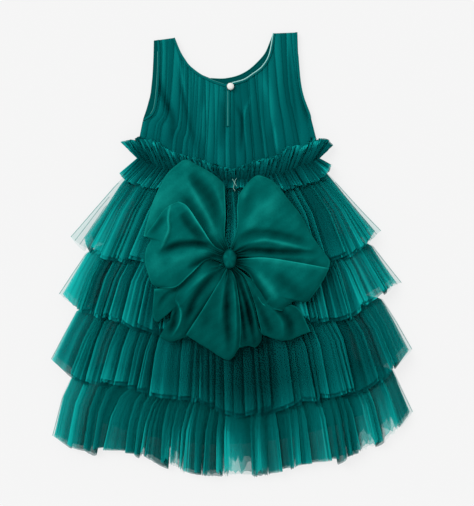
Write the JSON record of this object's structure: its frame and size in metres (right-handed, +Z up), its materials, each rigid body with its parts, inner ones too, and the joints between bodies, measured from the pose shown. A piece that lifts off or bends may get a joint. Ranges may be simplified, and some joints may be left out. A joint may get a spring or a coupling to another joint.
{
  "type": "girl's sleeveless tulle party dress",
  "caption": "Girl's sleeveless party dress laid flat with its back up: gathered tulle bodice, waist ruffles, tiered tulle ruffle skirt over a lining, large fabric bow and a pearl button.",
  "frame": {"origin": "centre of the dress's bounding box in plan, on the surface that it lies on", "axes": "+Y from the hem to the shoulders, +X to the right across the back as seen from above, +Z up from the surface to the back of the dress"},
  "size_m": [0.5466, 0.6682, 0.0627],
  "materials": {
    "skirt_tulle": "sheer matte tulle",
    "skirt_lining": "matte lining cloth",
    "bodice_tulle": "sheer matte tulle",
    "bodice_base": "matte cloth",
    "binding": "fine woven binding",
    "bow_fabric": "soft sheen",
    "pearl": "glossy pearl"
  },
  "bodies": {
    "root": {"skirt_tier_1": "skirt_tulle", "skirt_tier_2": "skirt_tulle", "skirt_tier_3": "skirt_tulle", "skirt_tier_4": "skirt_tulle", "waist_ruffle_lower": "skirt_tulle", "waist_ruffle_upper": "skirt_tulle", "skirt_lining": "skirt_lining", "bodice_front_tulle": "bodice_tulle", "bodice_back_tulle": "bodice_tulle", "bodice_front_base": "bodice_base", "bodice_back_base": "bodice_base", "neck_binding_left": "binding", "neck_binding_right": "binding", "armhole_binding_left": "binding", "armhole_binding_right": "binding", "slit_binding": "binding", "bow_loop_upper_left": "bow_fabric", "bow_puff_left": "bow_fabric", "bow_loop_upper_right": "bow_fabric", "bow_loop_lower_right": "bow_fabric", "bow_tail_right": "bow_fabric", "bow_folds_right": "bow_fabric", "bow_tail_centre": "bow_fabric", "bow_tail_left": "bow_fabric", "bow_tab_left": "bow_fabric", "bow_knot": "bow_fabric", "button": "pearl"}
  },
  "joints": []
}
